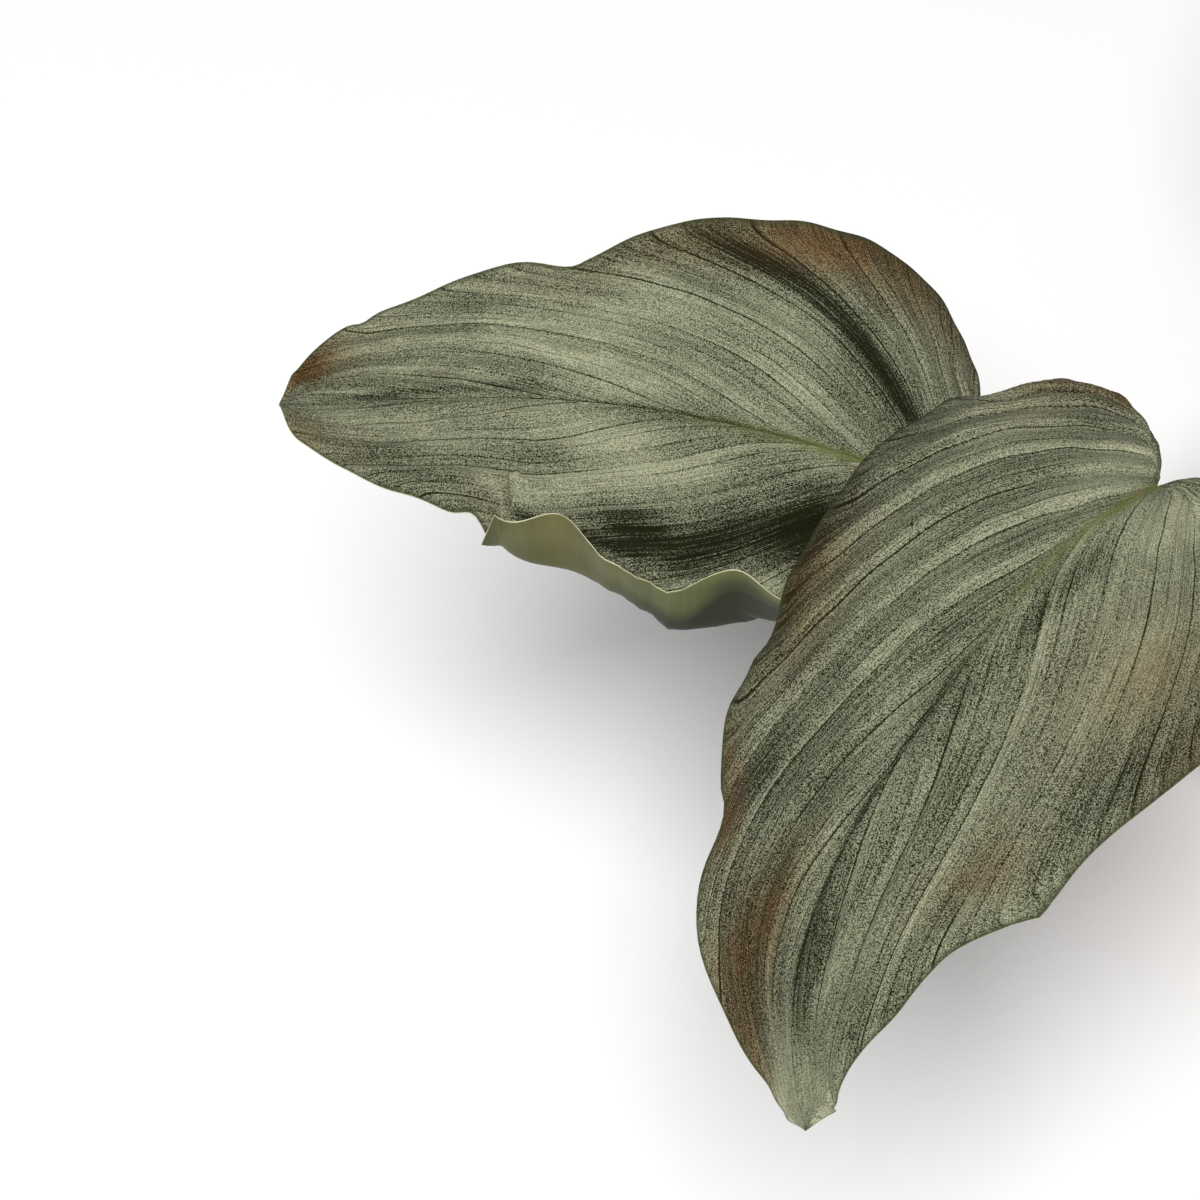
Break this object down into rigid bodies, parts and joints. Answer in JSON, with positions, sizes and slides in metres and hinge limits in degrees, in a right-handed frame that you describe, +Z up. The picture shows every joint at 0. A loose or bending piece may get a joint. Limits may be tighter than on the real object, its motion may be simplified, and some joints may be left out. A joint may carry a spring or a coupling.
{
  "type": "potted homalomena",
  "caption": "Velvet-leaved homalomena in a plain round nursery pot: heart-shaped blades on slender petioles spread out from a low crown in potting mix.",
  "frame": {"origin": "centre of the pot's flat foot, on the surface it stands on", "axes": "+Z up; -X towards the leaf at the left of the picture, -Y towards the viewer"},
  "size_m": [0.4581, 0.3436, 0.2047],
  "materials": {
    "pot": "matt moulded",
    "soil": "rough loose bark and grit",
    "leaf": "velvety, silvery grey green",
    "new_leaf": "smooth, pale green"
  },
  "bodies": {
    "root": {"pot": "pot", "soil": "soil", "leaf_left": "leaf", "leaf_front": "leaf", "leaf_young": "leaf", "leaf_right_front": "leaf", "leaf_right": "leaf", "leaf_right_back": "leaf", "leaf_back": "leaf", "leaf_rolled": "new_leaf"}
  },
  "joints": []
}
